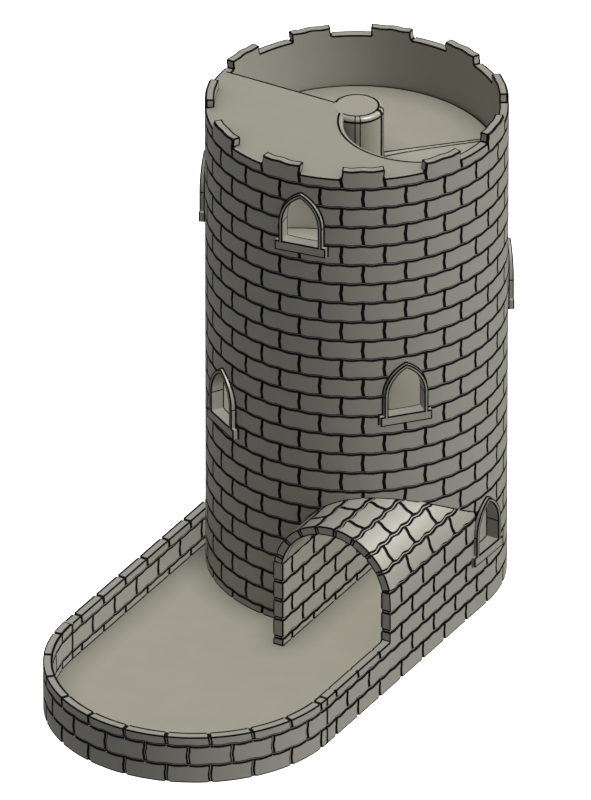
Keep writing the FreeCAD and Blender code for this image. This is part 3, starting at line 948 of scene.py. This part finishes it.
def ramp():
    """The landing, six flights and the exit from one helical lattice, falling clockwise."""
    inner, outer = POST + FIT, INNER - FIT
    exit_turn = LANDING_TO - FLIGHTS * FLIGHT_TURN - EXIT_TURN
    landing = list(np.arange(LANDING_FROM, LANDING_TO, -TURN_STEP))
    flights = list(np.arange(LANDING_TO - BEND_TURN, exit_turn, -TURN_STEP))
    turns = np.array(landing + 4 * [LANDING_TO] + flights + [exit_turn])
    bend = len(landing)
    radii = np.array([inner, inner + RAMP_POST_LINE, *RAMP_RINGS, outer - RAMP_RIM_LINE, outer])
    angle = turns[:, None] * np.ones(len(radii))
    line = LINE_AT_POST + (LINE_AT_RIM - LINE_AT_POST) * (radii - inner) / (outer - inner)
    angle[bend + 1] -= np.degrees(line / radii)
    angle[bend + 2] -= np.degrees(LINE_APART / radii)
    angle[bend + 3] -= np.degrees((LINE_APART + line) / radii)
    top = LANDING_TOP - RAMP_PITCH * np.maximum(LANDING_TO - angle, 0) / 360
    foot = np.maximum(top - RAMP_THICK, FLOOR)
    top = np.maximum(top, FLOOR + FEATHER)
    heights = np.stack([foot, top], axis=1)
    radius = radii[None, None, :] * np.ones((len(turns), 2, 1))
    turned = np.radians(angle)[:, None, :] * np.ones((1, 2, 1))
    points = np.stack([radius * np.cos(turned), radius * np.sin(turned), heights], axis=-1)
    ends = [bend] + [int(np.argmin(abs(turns - (LANDING_TO - FLIGHT_TURN * flight))))
                     for flight in range(1, FLIGHTS + 1)] + [len(turns) - 1]
    whole = np.zeros((len(turns) - 1, 1, len(radii) - 1), dtype=bool)
    parts = []
    for first, last in zip([0] + ends[:-1], ends):
        solid = whole.copy()
        solid[first:last] = True
        parts.append(solid)
    thin = [np.zeros(len(turns) - 1, dtype=bool), np.zeros(1, dtype=bool), np.diff(radii) < 0.8]
    dark = np.zeros(points.shape[:3], dtype=bool)

    def touch(part, ink):
        """The landing's end and a second line below it, on the top only."""
        if part.way == 1:
            ink |= np.isin(part.where[:, 0], (bend, bend + 2)) & (part.where[:, 1] == 1)
        return ink

    nodes = ["landing"] + [f"ramp_flight_{flight + 1}" for flight in range(FLIGHTS)] + ["ramp_exit"]
    for node, (places, faces, paint) in zip(nodes, lattice(points, parts, thin, dark, touch=touch)):
        seat(add_mesh(f"{node}_moulded", places, faces, paint, (LEVEL, DARK)), "smooth_floor", node)


# Windows ---------------------------------------------------------------------------------------------

def window(index):
    """One pointed surround with its sill, and ink along every edge of its sides, face and reveal."""
    outer, opening = window_outline(), window_opening()

    def loop(outline, reach, rounded=False):
        place = window_place(index, reach, WINDOW_FACE, rounded)
        return [place(point, 0) for point in outline]

    sides = [(outer, INNER, True), (outer, DRUM, True), (outer, DRUM + LINE, True),
             (outer, WINDOW_FACE - LINE), (outer, WINDOW_FACE), (shifted(outer, LINE), WINDOW_FACE)]
    reveal = [(opening, INNER, True), (opening, INNER + LINE, True), (opening, WINDOW_FACE - LINE),
              (opening, WINDOW_FACE), (shifted(opening, -LINE), WINDOW_FACE)]
    points, faces, paint = [], [], []
    for outline, stack, inked in ((outer, sides, (0, 1, 3, 4)), (opening, reveal, (0, 2, 3))):
        count = len(outline)
        for layer in range(len(stack) - 1):
            for column in range(count):
                after = (column + 1) % count
                base = len(points) + layer * count
                faces.append((base + column, base + after, base + count + after, base + count + column))
                rise = (outline[column][1] + outline[after][1]) / 2
                springing = abs(rise - SPRING_RISE + LINE / 2) < LINE / 4
                paint.append(INK if layer in inked or springing else FACE)
        points += [point for item in stack for point in loop(*item)]
    starts = [(len(sides) - 1) * len(outer), len(points) - len(opening)], [0, len(sides) * len(outer)]
    for corners, loops in zip(starts, ((sides[-1][0], reveal[-1][0]), (outer, opening))):
        index_of = [corner + step for corner, line in zip(corners, loops) for step in range(len(line))]
        fill = tessellate_polygon([[Vector((x, z, 0)) for x, z in line] for line in loops])
        faces += [tuple(index_of[corner] for corner in face) for face in fill]
        paint += [FACE] * len(fill)
    name = f"window_surround_{index + 1}"
    piece = add_mesh(f"{name}_moulded", points, faces, paint, (TRIM, DARK), face_out=True)
    seat(piece, "window_trim", name)


def floor_plate():
    """The base plate keeps its CAD shape."""
    plate = frame["nodes"]["base_plate"]
    plate.data.materials.clear()
    plate.data.materials.append(LEVEL)


def cylinder(name, radius, bottom, top, count=180):
    """An upright cylinder about the tower's axis, to cut with."""
    outline = [(radius * math.cos(2 * math.pi * step / count), radius * math.sin(2 * math.pi * step / count))
               for step in range(count)]
    return prism(name, outline, lambda point, end: (*point, (bottom, top)[end]))


def build():
    """Every piece of the tower."""
    cutters = window_cutters()
    drum_tool = cylinder("drum_tool", DRUM - RELIEF, BELOW, ABOVE_WALLS)
    bore = cylinder("bore", INNER, BELOW, ABOVE_VAULT)
    post_tool = cylinder("post_tool", POST, BELOW, ABOVE_WALLS, count=60)
    drum(cutters)
    tray_end()
    tray_left(drum_tool)
    right_side(cutters)
    tunnel_inner(post_tool)
    vault(bore, cutters)
    discard([*cutters, drum_tool, bore, post_tool])
    deck()
    post()
    ramp()
    for index in range(WINDOWS):
        window(index)
    floor_plate()


# Studio ----------------------------------------------------------------------------------------------

# The picture spans FRAME_HIGH metres on the plane that lies MIDDLE metres in front of the aim
FRAME_HIGH = 0.2943
MIDDLE = 0.096
LENS, SENSOR = 1260.0, 36.0
AIM = Vector((-34.73, 15.0, 52.64)) * MM
AZIMUTH, ELEVATION = math.radians(30), math.radians(30)


def direction(turn, rise):
    """The unit vector at a turn and a rise, in radians."""
    return Vector((math.cos(turn) * math.cos(rise), math.sin(turn) * math.cos(rise), math.sin(rise)))


def camera():
    """A very long lens, so that the view is all but parallel."""
    lens = bpy.data.cameras.new("camera")
    lens.lens, lens.sensor_width, lens.sensor_fit = LENS, SENSOR, "AUTO"
    lens.clip_start, lens.clip_end = 1.0, 60.0
    view = bpy.data.objects.new("camera", lens)
    back = direction(AZIMUTH - math.pi / 2, ELEVATION)
    view.location = AIM + back * (FRAME_HIGH * LENS / SENSOR + MIDDLE)
    view.rotation_mode = "QUATERNION"
    view.rotation_quaternion = (-back).to_track_quat("-Z", "Y")
    bpy.context.scene.collection.objects.link(view)
    bpy.context.scene.camera = view


def sun(name, energy, turn, rise, spread, gloss_only=False):
    """A sun without shadows; a gloss-only one shows in the plastic's sheen and adds no plain light."""
    light = bpy.data.lights.new(name, "SUN")
    light.energy, light.angle, light.use_shadow = energy, math.radians(spread), False
    light.color = (1.0, 0.99, 0.97)
    lamp = bpy.data.objects.new(name, light)
    lamp.rotation_mode = "QUATERNION"
    lamp.rotation_quaternion = direction(math.radians(turn), math.radians(rise)).to_track_quat("Z", "Y")
    lamp.visible_diffuse = not gloss_only
    bpy.context.scene.collection.objects.link(lamp)


def lights():
    """A soft key from the right, two suns for the sheen and an even grey surround before a white backdrop."""
    sun("key", 3.34, 14, 52.5, 25)
    sun("sheen", 1.42, 60, 30, 34, gloss_only=True)
    sun("glint", 3.4, -12, 55, 8, gloss_only=True)
    world = bpy.data.worlds.new("surround")
    bpy.context.scene.world = world
    world.use_nodes = True
    nodes, links = world.node_tree.nodes, world.node_tree.links
    ground = nodes["Background"]
    ground.inputs["Color"].default_value = (1, 1, 1, 1)
    seen = nodes.new("ShaderNodeLightPath")
    level = nodes.new("ShaderNodeMapRange")
    level.inputs["To Min"].default_value, level.inputs["To Max"].default_value = 0.27, 1.2
    links.new(seen.outputs["Is Camera Ray"], level.inputs["Value"])
    links.new(level.outputs["Result"], ground.inputs["Strength"])


def floor():
    """A pale studio floor, bright enough to run into the white backdrop."""
    material = bpy.data.materials.new("studio_floor")
    material.use_nodes = True
    shader = material.node_tree.nodes["Principled BSDF"]
    shader.inputs["Base Color"].default_value = (0.9, 0.9, 0.9, 1)
    shader.inputs["Emission Color"].default_value = (1, 1, 1, 1)
    shader.inputs["Emission Strength"].default_value = 1.0
    reach, below = 3000, -0.3
    corners = [(x * reach, y * reach, below) for x, y in ((-1, -1), (1, -1), (1, 1), (-1, 1))]
    ground = add_mesh("studio_floor", corners, [(0, 1, 2, 3)], materials=(material,))
    ground.visible_diffuse = ground.visible_glossy = ground.visible_shadow = False


for item in list(bpy.data.objects):
    if item.name in ("Cube", "Light", "Camera"):
        bpy.data.objects.remove(item)
bpy.context.scene.view_settings.view_transform = "Standard"
camera()
lights()
floor()
build()
